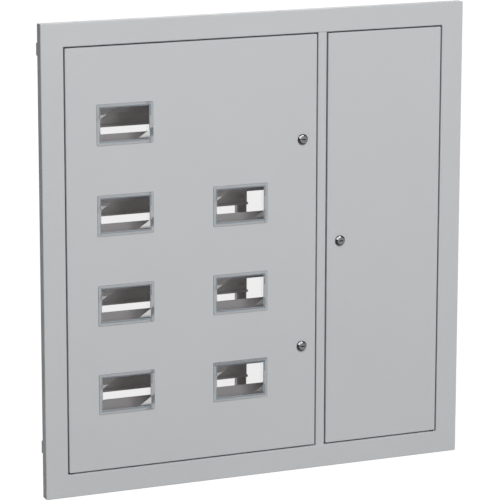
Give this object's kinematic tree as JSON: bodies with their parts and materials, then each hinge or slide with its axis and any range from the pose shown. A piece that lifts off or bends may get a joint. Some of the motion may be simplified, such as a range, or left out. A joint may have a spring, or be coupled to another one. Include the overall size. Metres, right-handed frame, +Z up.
{
  "type": "electrical enclosure",
  "caption": "Flush-mounted sheet-steel distribution enclosure with two locking doors, clear device windows, device rails and cover strips.",
  "frame": {"origin": "middle of the width and of the depth, lock heads and straps included, at the height of the face frame's bottom edge", "axes": "+X to the right seen from the front, +Y into the wall, +Z up"},
  "size_m": [0.96, 0.161, 1],
  "materials": {
    "grey_paint": "satin powder coat",
    "zinc_steel": "zinc plated",
    "lock_chrome": "polished, turned face",
    "clear_plastic": "clear moulded plastic",
    "black_rubber": "matt"
  },
  "bodies": {
    "enclosure": {"face_frame": "grey_paint", "mullion": "grey_paint", "side_wall_left": "grey_paint", "side_wall_right": "grey_paint", "top_wall": "grey_paint", "bottom_wall": "grey_paint", "partition": "grey_paint", "rear_strap_top": "grey_paint", "rear_strap_bottom": "grey_paint", "post_left": "zinc_steel", "post_right": "zinc_steel", "din_rail_1": "zinc_steel", "din_rail_2": "zinc_steel", "din_rail_3": "zinc_steel", "din_rail_4": "zinc_steel", "cover_strip_1": "grey_paint", "cover_strip_2": "grey_paint", "cover_strip_3": "grey_paint", "cover_strip_4": "grey_paint", "cover_strip_5": "grey_paint", "cover_bracket_left": "grey_paint", "cover_bracket_right": "grey_paint", "cover_screws": "zinc_steel", "signal_strip_upper": "zinc_steel", "signal_strip_lower": "zinc_steel", "hinge_pin_left_top": "zinc_steel", "hinge_pin_left_bottom": "zinc_steel", "hinge_pin_right_top": "zinc_steel", "hinge_pin_right_bottom": "zinc_steel", "door_buffers": "black_rubber", "earth_stud": "zinc_steel"},
    "left_door": {"left_door": "grey_paint", "left_door_stiffener": "grey_paint", "left_door_stud": "zinc_steel", "lock_upper_housing": "lock_chrome", "lock_upper_nut": "zinc_steel", "lock_lower_housing": "lock_chrome", "lock_lower_nut": "zinc_steel", "window_left_1": "clear_plastic", "window_left_2": "clear_plastic", "window_left_3": "clear_plastic", "window_left_4": "clear_plastic", "window_right_2": "clear_plastic", "window_right_3": "clear_plastic", "window_right_4": "clear_plastic"},
    "right_door": {"right_door": "grey_paint", "right_door_stiffener": "grey_paint", "right_door_stud": "zinc_steel", "lock_right_housing": "lock_chrome", "lock_right_nut": "zinc_steel"},
    "lock_upper": {"lock_upper_plug": "lock_chrome", "lock_upper_cam": "zinc_steel", "lock_upper_screw": "zinc_steel"},
    "lock_lower": {"lock_lower_plug": "lock_chrome", "lock_lower_cam": "zinc_steel", "lock_lower_screw": "zinc_steel"},
    "lock_right": {"lock_right_plug": "lock_chrome", "lock_right_cam": "zinc_steel", "lock_right_screw": "zinc_steel"}
  },
  "joints": [
    {"name": "left_door_hinge", "type": "hinge", "parent": "enclosure", "child": "left_door", "pos_m": [-0.422, -0.0665, 0.5], "axis": [0, 0, -1], "range_deg": [0, 105]},
    {"name": "right_door_hinge", "type": "hinge", "parent": "enclosure", "child": "right_door", "pos_m": [0.422, -0.0665, 0.5], "axis": [0, 0, 1], "range_deg": [0, 105]},
    {"name": "lock_upper_turn", "type": "hinge", "parent": "left_door", "child": "lock_upper", "pos_m": [0.1027, -0.0725, 0.726], "axis": [0, -1, 0], "range_deg": [0, 90]},
    {"name": "lock_lower_turn", "type": "hinge", "parent": "left_door", "child": "lock_lower", "pos_m": [0.1027, -0.0725, 0.276], "axis": [0, -1, 0], "range_deg": [0, 90]},
    {"name": "lock_right_turn", "type": "hinge", "parent": "right_door", "child": "lock_right", "pos_m": [0.1917, -0.0725, 0.5], "axis": [0, 1, 0], "range_deg": [0, 90]}
  ]
}
